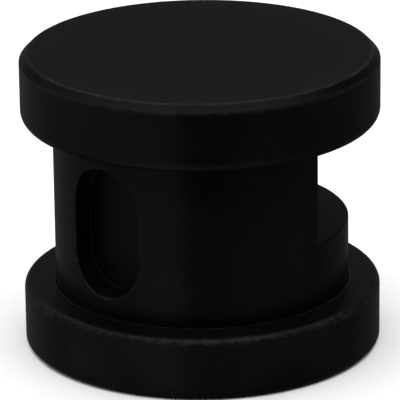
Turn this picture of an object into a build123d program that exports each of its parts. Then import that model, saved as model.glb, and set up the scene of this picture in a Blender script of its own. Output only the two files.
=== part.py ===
"""Steam outlet head with an oil pocket: a half-cut neck between a front disc and a sliding wall flange.

Frame: millimetres, +Z runs along the pipe axis from the wall to the front disc, and the origin is the centre of
the back face, which stands on a surface or against a wall. The oil pocket faces -Y and the steam outlet faces +Y.
"""
import os
from math import cos, radians, sin

from build123d import *

# ---- driving dimensions ----
HEAD_H = 50.4            # back face to front face
DISC_R = 30.0
DISC_T = 11.6
DISC_CHAMFER = 1.25      # front edge
DISC_BACK_FILLET = 2.1
FLANGE_R = 30.0
FLANGE_T = 10.6          # top of the flange above the wall
FLANGE_FILLET = 1.25
FLANGE_MOUTH = 0.1       # fillet round the flange's bore, at the neck's foot
FLANGE_BACK_GAP = 0.4    # the gasket stands this far proud of the metal
NECK_R = 24.7
NECK_TOP = HEAD_H - DISC_T
LEDGE_Z = 21.5           # floor of the steam outlet cut
FLAT_Y = 0.85            # wall of the steam outlet cut, just past the axis
POCKET_W = 13.95         # oil pocket
POCKET_H = 22.15
POCKET_Z = 24.9
POCKET_FLOOR = 20.1      # distance of its floor from the axis
POCKET_CORNER = 0.35     # fillet round the pocket's floor
POCKET_LIP = 0.2         # fillet round the pocket's mouth
LEDGE_BEVEL = 0.2        # broken edge round the ledge
STEAM_R = 8.0            # steam bore
STEAM_TOP = 31.0         # end of the full bore, before the drill point
INLET_R = 12.5           # seat of the bushing, at the pitch radius of its outer thread
INLET_L = 14.0
BUSH_CLEAR = 0.02
THREAD_R = 9.7           # pipe thread in the bushing, at its pitch radius
SLOT_W, SLOT_D = 3.2, 1.8      # driving slots across the bushing's face
FLANGE_CLEAR = 0.06      # sliding fit of the flange on the neck
RING_MINOR = 0.95        # O-ring cord radius, squeezed
RING_MAJOR = 25.7
RING_ZS = (3.6, 7.6)
GROOVE_R, GROOVE_W = 26.75, 2.3
GASKET_IN, GASKET_OUT, GASKET_T = 25.9, 29.0, 1.6
GASKET_LIP_R, GASKET_LIP_W, GASKET_LIP_D = 27.4, 0.8, 0.35   # groove that leaves two sealing lips
SCREW_R = 18.0           # pitch radius of the disc screws
SCREW_ANGLES = (-76.0, -36.0, 36.0, 76.0)   # from -Y
SCREW_D = 3.0
SCREW_HEAD_R, SCREW_HEAD_H = 2.7, 3.0
SCREW_SEAT = 16.5        # end of the counterbore
SCREW_L = 30.0
HEX_AF, HEX_D = 2.5, 1.5
WASHER_R, WASHER_T = 2.6, 0.8
HOLE_R, CBORE_R = 1.7, 2.9
TAP_R, TAP_TOP = 1.55, 46.6

screw_xy = [(SCREW_R * sin(radians(a)), -SCREW_R * cos(radians(a))) for a in SCREW_ANGLES]
os.makedirs("parts", exist_ok=True)


def z_of(shape):
    return shape.center().Z


# ---- what the broken edge round the ledge takes off, on the steam side only ----
with BuildPart() as ledge_bevel:
    with BuildSketch(Plane.XZ):
        with BuildLine():
            Polyline(
                (NECK_R - LEDGE_BEVEL, LEDGE_Z),
                (NECK_R, LEDGE_Z - LEDGE_BEVEL),
                (NECK_R + 1, LEDGE_Z - LEDGE_BEVEL),
                (NECK_R + 1, LEDGE_Z + 1),
                (NECK_R - LEDGE_BEVEL, LEDGE_Z + 1),
                close=True,
            )
        make_face()
    revolve(axis=Axis.Z)
    with BuildSketch(Plane.XY.offset(LEDGE_Z - 2)):
        with Locations((0, FLAT_Y + NECK_R)):
            Rectangle(4 * NECK_R, 2 * NECK_R)
    extrude(amount=4, mode=Mode.INTERSECT)

# ---- neck: solid bar, cut to half its width above the ledge, with the oil pocket on the uncut side ----
with BuildPart() as neck:
    with BuildSketch(Plane.XY):
        Circle(NECK_R)
    extrude(amount=NECK_TOP)
    rim = neck.edges().filter_by(GeomType.CIRCLE).group_by(Axis.Z)[0]
    chamfer(rim, 0.5)
    # steam outlet: everything past the flat, above the ledge
    with BuildSketch(Plane.XY.offset(LEDGE_Z)):
        with Locations((0, FLAT_Y + NECK_R)):
            Rectangle(4 * NECK_R, 2 * NECK_R)
    extrude(amount=NECK_TOP, mode=Mode.SUBTRACT)
    # softened edges where the flat meets the round
    verticals = (
        neck.edges()
        .filter_by(Axis.Z)
        .filter_by(lambda e: e.length > 10 and abs(e.center().Y - FLAT_Y) < 0.01)
    )
    fillet(verticals, 0.35)
    add(ledge_bevel.part, mode=Mode.SUBTRACT)
    # oil pocket, milled square to its own face
    with BuildSketch(Plane.XZ.offset(POCKET_FLOOR)):
        with Locations((0, POCKET_Z)):
            SlotOverall(POCKET_H, POCKET_W, rotation=90)
    extrude(amount=NECK_R, mode=Mode.SUBTRACT)
    floor_loop = neck.edges().filter_by(
        lambda e: abs(e.center().Y + POCKET_FLOOR) < 0.01
        and all(abs(v.Y + POCKET_FLOOR) < 0.01 for v in e.vertices())
        and POCKET_Z - POCKET_H < e.center().Z < POCKET_Z + POCKET_H
    )
    fillet(floor_loop, POCKET_CORNER)
    mouth = neck.edges().filter_by(
        lambda e: abs(e.center().X) < POCKET_W
        and e.center().Y < -POCKET_FLOOR - 2
        and abs(e.center().Z - POCKET_Z) < POCKET_H / 2 + 0.5
    )
    fillet(mouth, POCKET_LIP)
    # steam bore with its drill point, and the seat of the bushing
    with BuildSketch(Plane.XZ):
        with BuildLine():
            Polyline(
                (0, -1),
                (INLET_R, -1),
                (INLET_R, INLET_L),
                (STEAM_R, INLET_L),
                (STEAM_R, STEAM_TOP),
                (0, STEAM_TOP + STEAM_R * 0.6),
                close=True,
            )
        make_face()
    revolve(axis=Axis.Z, mode=Mode.SUBTRACT)
    # screw holes, counterbored from the back
    with BuildSketch(Plane.XY):
        with Locations(*screw_xy):
            Circle(CBORE_R)
    extrude(amount=SCREW_SEAT, mode=Mode.SUBTRACT)
    with BuildSketch(Plane.XY):
        with Locations(*screw_xy):
            Circle(HOLE_R)
    extrude(amount=NECK_TOP, mode=Mode.SUBTRACT)
neck.part.label = "neck"
export_step(neck.part, "parts/neck.step")

# ---- front disc ----
with BuildPart() as front_disc:
    with BuildSketch(Plane.XY.offset(NECK_TOP)):
        Circle(DISC_R)
    extrude(amount=DISC_T)
    chamfer(front_disc.edges().group_by(Axis.Z)[-1], DISC_CHAMFER)
    soft = front_disc.edges().filter_by(
        lambda e: e.geom_type == GeomType.CIRCLE and z_of(e) > HEAD_H - DISC_CHAMFER - 0.01
    )
    fillet(soft, 0.4)
    fillet(front_disc.edges().group_by(Axis.Z)[0], DISC_BACK_FILLET)
    with BuildSketch(Plane.XY.offset(NECK_TOP)):
        with Locations(*screw_xy):
            Circle(TAP_R)
    extrude(amount=TAP_TOP - NECK_TOP, mode=Mode.SUBTRACT)
front_disc.part.label = "front_disc"
export_step(front_disc.part, "parts/front_disc.step")

# ---- screws that hold the disc, from the back ----
with BuildPart() as disc_screws:
    head_z = SCREW_SEAT - WASHER_T - SCREW_HEAD_H
    with BuildSketch(Plane.XY.offset(head_z)):
        with Locations(*screw_xy):
            Circle(SCREW_HEAD_R)
    extrude(amount=SCREW_HEAD_H)
    chamfer(disc_screws.edges().group_by(Axis.Z)[0], 0.3)
    with BuildSketch(Plane.XY.offset(head_z + SCREW_HEAD_H)):
        with Locations(*screw_xy):
            Circle(SCREW_D / 2)
    extrude(amount=SCREW_L)
    chamfer(disc_screws.edges().group_by(Axis.Z)[-1], 0.4)
    with BuildSketch(Plane.XY.offset(head_z)):
        with Locations(*screw_xy):
            RegularPolygon(HEX_AF / 2, 6, major_radius=False)
    extrude(amount=HEX_D, mode=Mode.SUBTRACT)
disc_screws.part.label = "disc_screws"
export_step(disc_screws.part, "parts/disc_screws.step")

# ---- split lock washers under the screw heads ----
with BuildPart() as disc_lock_washers:
    with BuildSketch(Plane.XY.offset(SCREW_SEAT - WASHER_T)):
        with Locations(*screw_xy):
            Circle(WASHER_R)
            Circle(SCREW_D / 2 + 0.1, mode=Mode.SUBTRACT)
        with Locations(*[(x + WASHER_R - 0.3, y) for x, y in screw_xy]):
            Rectangle(2.4, 0.4, mode=Mode.SUBTRACT)
    extrude(amount=WASHER_T)
disc_lock_washers.part.label = "disc_lock_washers"
export_step(disc_lock_washers.part, "parts/disc_lock_washers.step")

# ---- reducing bushing with the pipe thread ----
with BuildPart() as inlet_bushing:
    with BuildSketch(Plane.XY):
        Circle(INLET_R - BUSH_CLEAR)
    extrude(amount=INLET_L - 0.1)
    chamfer(inlet_bushing.edges().group_by(Axis.Z)[-1], 0.8)
    with BuildSketch(Plane.XY):
        Circle(THREAD_R)
    extrude(amount=INLET_L, mode=Mode.SUBTRACT)
    with BuildSketch(Plane.XY):
        Rectangle(4 * INLET_R, SLOT_W)
    extrude(amount=SLOT_D, mode=Mode.SUBTRACT)
inlet_bushing.part.label = "inlet_bushing"
export_step(inlet_bushing.part, "parts/inlet_bushing.step")

# ---- wall flange: a ring that slides on the neck ----
with BuildPart() as flange:
    with BuildSketch(Plane.XY.offset(FLANGE_BACK_GAP)):
        Circle(FLANGE_R)
    extrude(amount=FLANGE_T - FLANGE_BACK_GAP)
    fillet(flange.edges().group_by(Axis.Z)[-1], FLANGE_FILLET)
    chamfer(flange.edges().group_by(Axis.Z)[0], 0.4)
    with BuildSketch(Plane.XY):
        Circle(NECK_R + FLANGE_CLEAR)
    extrude(amount=FLANGE_T, mode=Mode.SUBTRACT)
    mouth = flange.edges().filter_by(
        lambda e: e.geom_type == GeomType.CIRCLE
        and abs(e.radius - NECK_R - FLANGE_CLEAR) < 0.01
        and abs(z_of(e) - FLANGE_T) < 0.01
    )
    fillet(mouth, FLANGE_MOUTH)
    for ring_z in RING_ZS:
        with BuildSketch(Plane.XY.offset(ring_z - GROOVE_W / 2)):
            Circle(GROOVE_R)
        extrude(amount=GROOVE_W, mode=Mode.SUBTRACT)
    with BuildSketch(Plane.XY.offset(FLANGE_BACK_GAP)):
        Circle(GASKET_OUT + 0.05)
        Circle(GASKET_IN - 0.05, mode=Mode.SUBTRACT)
    extrude(amount=GASKET_T - FLANGE_BACK_GAP, mode=Mode.SUBTRACT)
flange.part.label = "flange"
export_step(flange.part, "parts/flange.step")

# ---- gasket in the back of the flange ----
with BuildPart() as wall_gasket:
    with BuildSketch(Plane.XY):
        Circle(GASKET_OUT)
        Circle(GASKET_IN, mode=Mode.SUBTRACT)
    extrude(amount=GASKET_T)
    chamfer(wall_gasket.edges().group_by(Axis.Z)[0], 0.2)
    with BuildSketch(Plane.XY):
        Circle(GASKET_LIP_R + GASKET_LIP_W / 2)
        Circle(GASKET_LIP_R - GASKET_LIP_W / 2, mode=Mode.SUBTRACT)
    extrude(amount=GASKET_LIP_D, mode=Mode.SUBTRACT)
wall_gasket.part.label = "wall_gasket"
export_step(wall_gasket.part, "parts/wall_gasket.step")

# ---- O-rings that grip the neck ----
with BuildPart() as o_ring_back:
    with BuildSketch(Plane.XZ):
        with Locations((RING_MAJOR, RING_ZS[0])):
            Circle(RING_MINOR)
    revolve(axis=Axis.Z)
o_ring_back.part.label = "o_ring_back"
export_step(o_ring_back.part, "parts/o_ring_back.step")

with BuildPart() as o_ring_front:
    with BuildSketch(Plane.XZ):
        with Locations((RING_MAJOR, RING_ZS[1])):
            Circle(RING_MINOR)
    revolve(axis=Axis.Z)
o_ring_front.part.label = "o_ring_front"
export_step(o_ring_front.part, "parts/o_ring_front.step")
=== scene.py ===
"""Looks for the steam outlet head: satin black coated metal, a threaded brass bushing and rubber seals, on a pale floor."""
import bmesh
import bpy
from math import cos, pi, radians, sin
from mathutils import Matrix, Vector


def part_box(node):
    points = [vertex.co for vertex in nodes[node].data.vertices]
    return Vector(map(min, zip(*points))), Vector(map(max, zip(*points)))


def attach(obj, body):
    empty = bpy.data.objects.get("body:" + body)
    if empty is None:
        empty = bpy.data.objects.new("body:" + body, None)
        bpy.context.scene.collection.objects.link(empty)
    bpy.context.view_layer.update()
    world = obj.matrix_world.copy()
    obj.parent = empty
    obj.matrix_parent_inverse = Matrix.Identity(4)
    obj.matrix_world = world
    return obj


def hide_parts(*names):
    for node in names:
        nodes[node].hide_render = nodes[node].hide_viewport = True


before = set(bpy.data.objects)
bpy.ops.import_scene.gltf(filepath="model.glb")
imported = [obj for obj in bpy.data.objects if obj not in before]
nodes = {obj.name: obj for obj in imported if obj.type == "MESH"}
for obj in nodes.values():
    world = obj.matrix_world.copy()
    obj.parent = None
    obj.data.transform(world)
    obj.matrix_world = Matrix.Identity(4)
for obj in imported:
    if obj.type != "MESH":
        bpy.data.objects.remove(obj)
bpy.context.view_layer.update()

# ------------------------------------------------------------------ sizes, read from the frame
disc_lo, disc_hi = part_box("front_disc")
neck_lo, neck_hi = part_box("neck")
flange_lo, flange_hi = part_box("flange")
bush_lo, bush_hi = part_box("inlet_bushing")
DISC_R = disc_hi[0]
TOP_Z = disc_hi[2]
DISC_Z = disc_lo[2]
NECK_R = neck_hi[0]
FLANGE_R = flange_hi[0]
FLANGE_Z = flange_hi[2]
MM = 0.001


# ------------------------------------------------------------------ node helpers
class Tree:
    """Short names for building a material's nodes."""

    def __init__(self, name):
        self.mat = bpy.data.materials.new(name)
        self.mat.use_nodes = True
        self.t = self.mat.node_tree
        self.t.nodes.clear()
        self.out = self.t.nodes.new("ShaderNodeOutputMaterial")
        self.bsdf = self.t.nodes.new("ShaderNodeBsdfPrincipled")
        self.t.links.new(self.bsdf.outputs["BSDF"], self.out.inputs["Surface"])
        self.pos = self.t.nodes.new("ShaderNodeTexCoord").outputs["Object"]
        self._xyz = None

    def put(self, socket, value):
        if isinstance(value, bpy.types.NodeSocket):
            self.t.links.new(value, socket)
        else:
            socket.default_value = value

    def math(self, op, a, b=0.0, c=0.0, clamp=False):
        n = self.t.nodes.new("ShaderNodeMath")
        n.operation = op
        n.use_clamp = clamp
        for s, v in zip(n.inputs, (a, b, c)):
            self.put(s, v)
        return n.outputs[0]

    def xyz(self):
        if self._xyz is None:
            n = self.t.nodes.new("ShaderNodeSeparateXYZ")
            self.put(n.inputs[0], self.pos)
            self._xyz = n.outputs[0], n.outputs[1], n.outputs[2]
        return self._xyz

    def flatness(self):
        """1 on faces square to Z, 0 on upright ones."""
        n = self.t.nodes.new("ShaderNodeSeparateXYZ")
        coord = self.t.nodes.new("ShaderNodeTexCoord")
        self.put(n.inputs[0], coord.outputs["Normal"])
        return self.ramp(self.math("ABSOLUTE", n.outputs[2]), 0.6, 0.95)

    def radius(self):
        x, y, _ = self.xyz()
        return self.math("SQRT", self.math("ADD", self.math("MULTIPLY", x, x), self.math("MULTIPLY", y, y)))

    def vec(self, x, y, z):
        n = self.t.nodes.new("ShaderNodeCombineXYZ")
        for s, v in zip(n.inputs, (x, y, z)):
            self.put(s, v)
        return n.outputs[0]

    def noise(self, scale, detail=3.0, rough=0.5, vector=None, distortion=0.0):
        n = self.t.nodes.new("ShaderNodeTexNoise")
        self.put(n.inputs["Vector"], vector if vector is not None else self.pos)
        n.inputs["Scale"].default_value = scale
        n.inputs["Detail"].default_value = detail
        n.inputs["Roughness"].default_value = rough
        n.inputs["Distortion"].default_value = distortion
        return n.outputs["Fac"]

    def ramp(self, value, lo, hi, out_lo=0.0, out_hi=1.0, smooth=True):
        n = self.t.nodes.new("ShaderNodeMapRange")
        n.interpolation_type = "SMOOTHSTEP" if smooth else "LINEAR"
        self.put(n.inputs["Value"], value)
        n.inputs["From Min"].default_value = lo
        n.inputs["From Max"].default_value = hi
        n.inputs["To Min"].default_value = out_lo
        n.inputs["To Max"].default_value = out_hi
        return n.outputs["Result"]

    def mix(self, fac, a, b):
        n = self.t.nodes.new("ShaderNodeMix")
        n.data_type = "RGBA"
        self.put(n.inputs[0], fac)
        for s, v in ((n.inputs[6], a), (n.inputs[7], b)):
            self.put(s, (*v, 1.0) if isinstance(v, tuple) and len(v) == 3 else v)
        return n.outputs[2]

    def bump(self, height, distance, strength=1.0, normal=None):
        n = self.t.nodes.new("ShaderNodeBump")
        n.inputs["Strength"].default_value = strength
        n.inputs["Distance"].default_value = distance
        self.put(n.inputs["Height"], height)
        if normal is not None:
            self.put(n.inputs["Normal"], normal)
        return n.outputs["Normal"]

    def near(self, a, b, width):
        """1 on the line where both distances a and b are zero, fading to 0 at width."""
        d = self.math("SQRT", self.math("ADD", self.math("MULTIPLY", a, a), self.math("MULTIPLY", b, b)))
        return self.ramp(d, 0.0, width, 1.0, 0.0)

    def most(self, values):
        out = values[0]
        for v in values[1:]:
            out = self.math("MAXIMUM", out, v)
        return out


def coated(name, edges, seed, matt=None):
    """Satin black coating on turned metal. edges(tree) masks the edges that are painted lighter, partly wear through
    the coating and partly painted highlight, and matt(tree) what was milled, not turned.
    """
    m = Tree(name)
    x, y, z = m.xyz()
    r = m.radius()
    shifted = m.vec(m.math("ADD", x, 0.37 * seed), m.math("ADD", y, 0.11 * seed), z)
    cloud = m.noise(55.0, 3.0, 0.55, shifted)              # soft handling marks, about 20 mm across
    grain = m.noise(5200.0, 2.0, 0.6, shifted)             # coating grain, about 0.2 mm
    speck = m.noise(3000.0, 1.0, 0.5, shifted)             # sparse bright specks
    fine = m.noise(11000.0, 1.0, 0.5, shifted)
    lines = m.noise(1.0, 1.0, 0.6, m.vec(m.math("MULTIPLY", x, 14.0), m.math("MULTIPLY", y, 14.0), m.math("MULTIPLY", z, 1900.0)))
    rings = m.noise(1.0, 1.0, 0.6, m.vec(m.math("MULTIPLY", r, 2600.0), m.math("MULTIPLY", z, 30.0), m.math("MULTIPLY", x, 9.0)))
    scratch = m.noise(1.0, 2.0, 0.5, m.vec(m.math("MULTIPLY", x, 260.0), m.math("MULTIPLY", y, 90.0), m.math("MULTIPLY", z, 1500.0)))
    flat = m.flatness()
    side = m.math("SUBTRACT", 1.0, flat)
    # edge mask for painted highlight lines and wear, broken up by grain, specks and clouds
    wear_and_painted_highlight = m.math("MULTIPLY", edges(m), m.ramp(grain, 0.40, 0.62, 0.35, 1.0))
    wear_and_painted_highlight = m.math("MULTIPLY", wear_and_painted_highlight, m.ramp(speck, 0.36, 0.62, 0.25, 1.45))
    wear_and_painted_highlight = m.math("MULTIPLY", wear_and_painted_highlight, m.ramp(m.noise(650.0, 2.0, 0.6, shifted), 0.36, 0.62, 0.40, 1.25))
    wear_and_painted_highlight = m.math("MULTIPLY", wear_and_painted_highlight, m.ramp(cloud, 0.32, 0.62, 0.45, 1.0), clamp=True)
    base = m.mix(m.ramp(cloud, 0.34, 0.66), (0.0011, 0.0011, 0.0011), (0.0020, 0.0020, 0.0020))
    base = m.mix(m.ramp(grain, 0.45, 0.75, 0.0, 0.5), base, (0.0036, 0.0036, 0.0036))
    base = m.mix(m.ramp(speck, 0.70, 0.76, 0.0, 0.8), base, (0.0080, 0.0080, 0.0080))
    # lighter specks on faces square to Z, between 18 and 29 mm from the axis
    outer_flat_specks = m.math("MULTIPLY", m.math("MULTIPLY", m.ramp(r, 0.018, 0.029), flat), m.ramp(speck, 0.52, 0.66))
    base = m.mix(m.math("MULTIPLY", outer_flat_specks, 0.6), base, (0.0085, 0.0085, 0.0085))
    # edges painted lighter and slightly metallic: partly wear through the coating, partly painted highlight lines
    base = m.mix(wear_and_painted_highlight, base, (0.024, 0.0237, 0.0233))
    m.put(m.bsdf.inputs["Base Color"], base)
    rough = m.ramp(cloud, 0.3, 0.7, 0.235, 0.285)
    rough = m.math("ADD", rough, m.math("MULTIPLY", flat, 0.12))
    if matt is not None:
        rough = m.math("ADD", rough, m.math("MULTIPLY", matt(m), 0.22))
    rough = m.math("ADD", rough, m.ramp(grain, 0.3, 0.7, -0.03, 0.05))
    rough = m.math("ADD", rough, m.ramp(lines, 0.35, 0.65, -0.008, 0.008))
    m.put(m.bsdf.inputs["Roughness"], rough)
    m.put(m.bsdf.inputs["Metallic"], m.math("MULTIPLY", wear_and_painted_highlight, 0.25))
    m.bsdf.inputs["IOR"].default_value = 1.45
    m.bsdf.inputs["Specular IOR Level"].default_value = 0.5
    # the turning marks run round the axis, so gloss spreads across them
    m.put(m.bsdf.inputs["Anisotropic"], m.math("MULTIPLY", side, 0.7))
    m.bsdf.inputs["Anisotropic Rotation"].default_value = 0.25
    round_axis = m.t.nodes.new("ShaderNodeTangent")
    round_axis.direction_type, round_axis.axis = "RADIAL", "Z"
    m.put(m.bsdf.inputs["Tangent"], round_axis.outputs[0])
    n = m.bump(fine, 0.000010, 0.8)
    n = m.bump(grain, 0.000013, 0.8, n)
    n = m.bump(m.math("MULTIPLY", lines, side), 0.000003, 0.5, n)
    n = m.bump(m.math("MULTIPLY", rings, flat), 0.000005, 0.4, n)
    n = m.bump(m.math("MULTIPLY", m.ramp(scratch, 0.62, 0.70), side), 0.000008, 0.12, n)
    m.put(m.bsdf.inputs["Normal"], n)
    return m.mat


def disc_edges(m):
    _, _, z = m.xyz()
    r = m.radius()
    # painted highlight lines, partly wear: both edges of the top chamfer and, faintly, the lower rounded edge
    top_in = m.near(m.math("SUBTRACT", r, DISC_R - 1.30 * MM), m.math("SUBTRACT", z, TOP_Z), 0.50 * MM)
    top_out = m.near(m.math("SUBTRACT", r, DISC_R), m.math("SUBTRACT", z, TOP_Z - 1.30 * MM), 0.55 * MM)
    low = m.near(m.math("SUBTRACT", r, DISC_R - 0.4 * MM), m.math("SUBTRACT", z, DISC_Z + 0.4 * MM), 0.9 * MM)
    return m.most([top_in, m.math("MULTIPLY", top_out, 0.5), m.math("MULTIPLY", low, 0.1)])


def flange_edges(m):
    _, _, z = m.xyz()
    r = m.radius()
    # painted highlight, partly wear: the top rounded edge and a thin line at the bore's mouth against the neck
    top = m.near(m.math("SUBTRACT", r, FLANGE_R - 0.25 * MM), m.math("SUBTRACT", z, FLANGE_Z - 0.45 * MM), 1.0 * MM)
    mouth = m.near(m.math("SUBTRACT", r, NECK_R + 0.20 * MM), m.math("SUBTRACT", z, FLANGE_Z), 0.50 * MM)
    return m.most([top, mouth])


POCKET_Z = 24.9 * MM
POCKET_HALF_W, POCKET_HALF_H = 6.975 * MM, 11.075 * MM
LEDGE_Z, FLAT_Y = 21.5 * MM, 0.85 * MM


def neck_edges(m):
    x, y, z = m.xyz()
    r = m.radius()
    ax = m.math("ABSOLUTE", x)
    # painted highlight lines, partly wear: the notch's upright edges, the ledge edge and the pocket's mouth
    upright = m.near(m.math("SUBTRACT", ax, NECK_R), m.math("SUBTRACT", y, FLAT_Y), 0.45 * MM)
    upright = m.math("MULTIPLY", upright, m.ramp(z, LEDGE_Z - 0.0005, LEDGE_Z + 0.0005))
    ledge = m.near(m.math("SUBTRACT", r, NECK_R), m.math("SUBTRACT", z, LEDGE_Z), 0.35 * MM)
    ledge = m.math("MULTIPLY", ledge, m.ramp(y, FLAT_Y, FLAT_Y + 0.0005))
    # distance to the pocket's outline, a vertical stadium in XZ
    dz = m.math("MAXIMUM", m.math("SUBTRACT", m.math("ABSOLUTE", m.math("SUBTRACT", z, POCKET_Z)), POCKET_HALF_H - POCKET_HALF_W), 0.0)
    dist = m.math("SUBTRACT", m.math("SQRT", m.math("ADD", m.math("MULTIPLY", x, x), m.math("MULTIPLY", dz, dz))), POCKET_HALF_W)
    depth = m.math("SUBTRACT", NECK_R, r)
    pocket = m.near(dist, depth, 0.38 * MM)
    pocket = m.math("MULTIPLY", pocket, m.ramp(y, -0.019, -0.018, 1.0, 0.0))
    return m.most([upright, m.math("MULTIPLY", ledge, 0.5), pocket])


def pocket_inside(m):
    x, y, z = m.xyz()
    r = m.radius()
    return m.math("MULTIPLY", m.ramp(r, NECK_R - 1.0 * MM, NECK_R - 0.3 * MM, 1.0, 0.0), m.ramp(y, -0.019, -0.018, 1.0, 0.0))


def rubber(name):
    m = Tree(name)
    cloud = m.noise(180.0, 3.0, 0.6)
    grain = m.noise(4200.0, 3.0, 0.6)
    m.put(m.bsdf.inputs["Base Color"], m.mix(m.ramp(cloud, 0.3, 0.7), (0.010, 0.010, 0.010), (0.022, 0.022, 0.021)))
    m.put(m.bsdf.inputs["Roughness"], m.ramp(grain, 0.3, 0.7, 0.62, 0.85))
    m.bsdf.inputs["Specular IOR Level"].default_value = 0.35
    m.put(m.bsdf.inputs["Normal"], m.bump(grain, 0.00003, 0.6))
    return m.mat


def brass(name):
    m = Tree(name)
    x, y, z = m.xyz()
    r = m.radius()
    cloud = m.noise(160.0, 4.0, 0.6)
    spots = m.noise(900.0, 2.0, 0.5)
    lines = m.noise(1.0, 3.0, 0.7, m.vec(m.math("MULTIPLY", x, 40.0), m.math("MULTIPLY", y, 40.0), m.math("MULTIPLY", z, 5200.0)))
    rings = m.noise(1.0, 3.0, 0.7, m.vec(m.math("MULTIPLY", r, 5200.0), m.math("MULTIPLY", z, 40.0), m.math("MULTIPLY", x, 12.0)))
    base = m.mix(m.ramp(cloud, 0.3, 0.75), (0.66, 0.47, 0.20), (0.50, 0.34, 0.14))
    base = m.mix(m.ramp(spots, 0.60, 0.75, 0.0, 0.5), base, (0.28, 0.18, 0.08))
    m.put(m.bsdf.inputs["Base Color"], base)
    m.bsdf.inputs["Metallic"].default_value = 1.0
    rough = m.math("ADD", m.ramp(cloud, 0.3, 0.7, 0.24, 0.38), m.ramp(lines, 0.3, 0.7, -0.04, 0.06))
    m.put(m.bsdf.inputs["Roughness"], rough)
    n = m.bump(lines, 0.000015, 0.6)
    m.put(m.bsdf.inputs["Normal"], m.bump(rings, 0.000012, 0.5, n))
    return m.mat


def steel(name):
    m = Tree(name)
    x, y, z = m.xyz()
    cloud = m.noise(400.0, 3.0, 0.6)
    lines = m.noise(1.0, 3.0, 0.7, m.vec(m.math("MULTIPLY", x, 200.0), m.math("MULTIPLY", y, 200.0), m.math("MULTIPLY", z, 6000.0)))
    m.put(m.bsdf.inputs["Base Color"], m.mix(m.ramp(cloud, 0.3, 0.7), (0.52, 0.52, 0.53), (0.40, 0.40, 0.41)))
    m.bsdf.inputs["Metallic"].default_value = 1.0
    m.put(m.bsdf.inputs["Roughness"], m.math("ADD", m.ramp(cloud, 0.3, 0.7, 0.24, 0.34), m.ramp(lines, 0.3, 0.7, -0.04, 0.06)))
    m.put(m.bsdf.inputs["Normal"], m.bump(lines, 0.00001, 0.5))
    return m.mat


def assign(node, mat):
    o = nodes[node]
    if o.data.materials:
        for i in range(len(o.data.materials)):
            o.data.materials[i] = mat
    else:
        o.data.materials.append(mat)


assign("front_disc", coated("front_disc_satin_black", disc_edges, 1))
assign("neck", coated("neck_satin_black", neck_edges, 2, pocket_inside))
assign("flange", coated("flange_satin_black", flange_edges, 3))
assign("wall_gasket", rubber("gasket_rubber"))
ring_rubber = rubber("o_ring_rubber")
assign("o_ring_back", ring_rubber)
assign("o_ring_front", ring_rubber)
screw_steel = steel("screw_steel")
assign("disc_screws", screw_steel)
assign("disc_lock_washers", screw_steel)


# ------------------------------------------------------------------ bushing with its cut thread
def threaded_bushing():
    """Closed ring around Z: plain outside, driving slots across the face, and a real helical thread inside."""
    pitch, half_depth, r_mid = 25.4 / 14 * MM, 0.58 * MM, 9.7 * MM
    z0, z1, r_out = bush_lo[2], bush_hi[2], bush_hi[0]
    cols, rows = 144, 132
    lead = 1.1 * MM

    def thread(z, t):
        """Radius of the bore: a rounded 60 degree thread that runs out into a countersink at both ends."""
        u = (z / pitch - t / (2 * pi)) % 1.0
        tri = abs(2 * u - 1) * 2 - 1
        tri = max(-0.82, min(0.82, tri)) / 0.82
        r = r_mid + half_depth * tri
        mouth = max(0.0, 1 - (z - z0) / lead)
        tail = max(0.0, 1 - (z1 - z) / (0.7 * MM))
        return max(r, r_mid - half_depth + 2.2 * half_depth * mouth, r_mid - half_depth + 1.4 * half_depth * tail)

    bm = bmesh.new()
    loops = []
    outer = [(r_out - 0.25 * MM, z0), (r_out, z0 + 0.25 * MM), (r_out, z1 - 0.8 * MM), (r_out - 0.8 * MM, z1)]
    for i in range(cols):
        t = 2 * pi * i / cols
        col = [bm.verts.new((r * cos(t), r * sin(t), z)) for r, z in outer]
        for j in range(rows + 1):
            z = z1 + (z0 - z1) * j / rows
            r = thread(z, t)
            col.append(bm.verts.new((r * cos(t), r * sin(t), z)))
        loops.append(col)
    count = len(loops[0])
    for i in range(cols):
        a, b = loops[i], loops[(i + 1) % cols]
        for j in range(count):
            k = (j + 1) % count
            bm.faces.new((a[j], b[j], b[k], a[k]))
    bmesh.ops.recalc_face_normals(bm, faces=bm.faces)
    mesh = bpy.data.meshes.new("inlet_bushing_threaded")
    bm.to_mesh(mesh)
    bm.free()
    piece = bpy.data.objects.new("inlet_bushing_threaded", mesh)
    bpy.context.collection.objects.link(piece)
    # driving slots across the back face
    cut = bpy.data.meshes.new("slot_cutter")
    bm = bmesh.new()
    bmesh.ops.create_cube(bm, size=1.0, matrix=Matrix.Translation((0, 0, z0)) @ Matrix.Diagonal((0.04, 3.2 * MM, 3.6 * MM, 1)))
    bm.to_mesh(cut)
    bm.free()
    cutter = bpy.data.objects.new("slot_cutter", cut)
    bpy.context.collection.objects.link(cutter)
    mod = piece.modifiers.new("slots", "BOOLEAN")
    mod.operation, mod.object, mod.solver = "DIFFERENCE", cutter, "EXACT"
    bpy.context.view_layer.update()
    done = bpy.data.meshes.new_from_object(piece.evaluated_get(bpy.context.evaluated_depsgraph_get()))
    piece.modifiers.clear()
    piece.data = done
    bpy.data.objects.remove(cutter)
    done.shade_smooth()
    done.set_sharp_from_angle(angle=radians(38))
    done.materials.clear()
    done.materials.append(brass("bushing_brass"))
    return piece


bushing = threaded_bushing()
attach(bushing, "head")
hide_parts("inlet_bushing")

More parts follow.
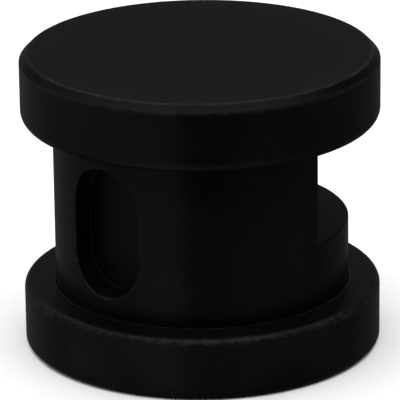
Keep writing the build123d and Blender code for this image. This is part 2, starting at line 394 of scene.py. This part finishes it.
# ------------------------------------------------------------------ floor
me = bpy.data.meshes.new("floor")
bm = bmesh.new()
bmesh.ops.create_grid(bm, x_segments=1, y_segments=1, size=6.0)
bm.to_mesh(me)
bm.free()
floor = bpy.data.objects.new("floor", me)
floor.location.z = -0.00006
bpy.context.collection.objects.link(floor)
fm = Tree("floor_paper")
fm.put(fm.bsdf.inputs["Base Color"], fm.mix(fm.ramp(fm.noise(3.0, 2.0), 0.3, 0.7), (0.90, 0.90, 0.90), (0.92, 0.92, 0.92)))
fm.bsdf.inputs["Roughness"].default_value = 0.9
fm.bsdf.inputs["Specular IOR Level"].default_value = 0.1
me.materials.append(fm.mat)

# ------------------------------------------------------------------ light
CAM_AZ, CAM_EL = 40.9, 19.8      # the camera's own direction from the object; 0 is -Y and 90 is +X

world = bpy.data.worlds.new("studio")
bpy.context.scene.world = world
world.use_nodes = True


class Room(Tree):
    """The studio as the gloss sees it: dim walls with soft panels, each given by its azimuth and elevation."""

    def __init__(self, tree):
        self.t = tree
        self.pos = tree.nodes.new("ShaderNodeTexCoord").outputs["Generated"]
        self._xyz = None
        x, y, z = self.xyz()
        az = self.math("ARCTAN2", x, self.math("MULTIPLY", y, -1.0))
        self.az = self.math("MULTIPLY", az, 180 / pi)
        self.el = self.math("MULTIPLY", self.math("ARCSINE", z), 180 / pi)

    def panel(self, az, half, soft, el_lo, el_hi, el_soft, value):
        off = self.math("ABSOLUTE", self.math("WRAP", self.math("SUBTRACT", self.az, CAM_AZ + az), 180.0, -180.0))
        across = self.ramp(off, half - soft / 2, half + soft / 2, 1.0, 0.0)
        low = self.ramp(self.el, el_lo - el_soft / 2, el_lo + el_soft / 2)
        high = self.ramp(self.el, el_hi - el_soft / 2, el_hi + el_soft / 2, 1.0, 0.0)
        return self.math("MULTIPLY", self.math("MULTIPLY", across, self.math("MULTIPLY", low, high)), value)


room = Room(world.node_tree)
parts = [
    room.panel(-56, 42, 3, -95, 42, 12, 0.080),        # left wall
    room.panel(-145, 50, 30, -40, 12, 14, 0.070),      # left, behind
    room.panel(52, 32, 16, -95, 20, 12, 0.018),        # right wall
    room.panel(128, 50, 30, -40, 20, 14, 0.040),       # right, behind
    room.panel(205, 40, 70, 25, 56, 26, 0.150),        # back wall
    room.panel(0, 200, 1, 48, 100, 16, 0.27),          # ceiling
    room.panel(0, 200, 1, -100, -46, 22, 0.020),       # straight below
]
total = 0.0035
for v in parts:
    total = room.math("ADD", v, total)
tint = room.vec(total, total, total)
world.node_tree.links.new(tint, world.node_tree.nodes["Background"].inputs["Color"])
world.node_tree.nodes["Background"].inputs["Strength"].default_value = 1.0


def panel(name, azimuth, elevation, distance, width, height, radiance, aim=(0, 0, 0.025)):
    """A soft box seen from the object at that azimuth and elevation. It lights the floor, and gloss doesn't show it."""
    a, e = radians(azimuth), radians(elevation)
    back = Vector((sin(a) * cos(e), -cos(a) * cos(e), sin(e)))
    data = bpy.data.lights.new(name, "AREA")
    data.shape = "RECTANGLE"
    data.size, data.size_y, data.energy = width, height, radiance * pi * width * height
    o = bpy.data.objects.new(name, data)
    o.location = Vector(aim) + back * distance
    o.rotation_mode = "QUATERNION"
    o.rotation_quaternion = back.to_track_quat("Z", "Y")
    o.visible_glossy = False
    bpy.context.collection.objects.link(o)
    return o


panel("overhead", CAM_AZ, 89, 1.2, 2.2, 2.2, 2.5)
panel("left_box", CAM_AZ - 75, 30, 1.1, 0.5, 0.5, 1.2)

# the glow of the floor round the object's front, which only the gloss shows


def floor_glow(name, side, ahead, width, depth, radiance):
    """An elliptical patch of floor, its centre given to the camera's right and towards the camera."""
    f = radians(CAM_AZ)
    data = bpy.data.lights.new(name, "AREA")
    data.shape = "ELLIPSE"
    data.size, data.size_y = width, depth
    data.energy = radiance * pi * pi * width * depth / 4
    o = bpy.data.objects.new(name, data)
    o.location = Vector((cos(f), sin(f), 0)) * side + Vector((sin(f), -cos(f), 0)) * ahead + Vector((0, 0, -0.00002))
    o.rotation_euler = (pi, 0, f)
    o.visible_camera = o.visible_diffuse = False
    bpy.context.collection.objects.link(o)


floor_glow("glow_front", 0.006, 0.058, 0.098, 0.052, 0.062)
floor_glow("glow_right", 0.058, 0.058, 0.092, 0.076, 0.034)
floor_glow("glow_left_edge", -0.033, 0.031, 0.024, 0.024, 0.034)
floor_glow("glow_right_edge", 0.034, 0.031, 0.024, 0.024, 0.024)
floor.visible_glossy = False

# ------------------------------------------------------------------ camera
a, e = radians(CAM_AZ), radians(CAM_EL)
back = Vector((sin(a) * cos(e), -cos(a) * cos(e), sin(e)))
right = Vector((cos(a), sin(a), 0))
target = right * (-0.00022) + Vector((0, 0, 0.02393))
cam_data = bpy.data.cameras.new("camera")
cam_data.sensor_width = 36.0
cam_data.lens = 334.2
cam = bpy.data.objects.new("camera", cam_data)
cam.location = target + back * 0.62375
cam.rotation_mode = "QUATERNION"
up = right.cross(-back)
roll = radians(-0.71)
r2 = right * cos(roll) + up * sin(roll)
u2 = -right * sin(roll) + up * cos(roll)
cam.rotation_quaternion = Matrix((r2, u2, back)).transposed().to_quaternion()
cam_data.clip_start, cam_data.clip_end = 0.05, 20.0
cam_data.dof.use_dof = False
bpy.context.collection.objects.link(cam)
bpy.context.scene.camera = cam
bpy.context.scene.view_settings.view_transform = "Standard"
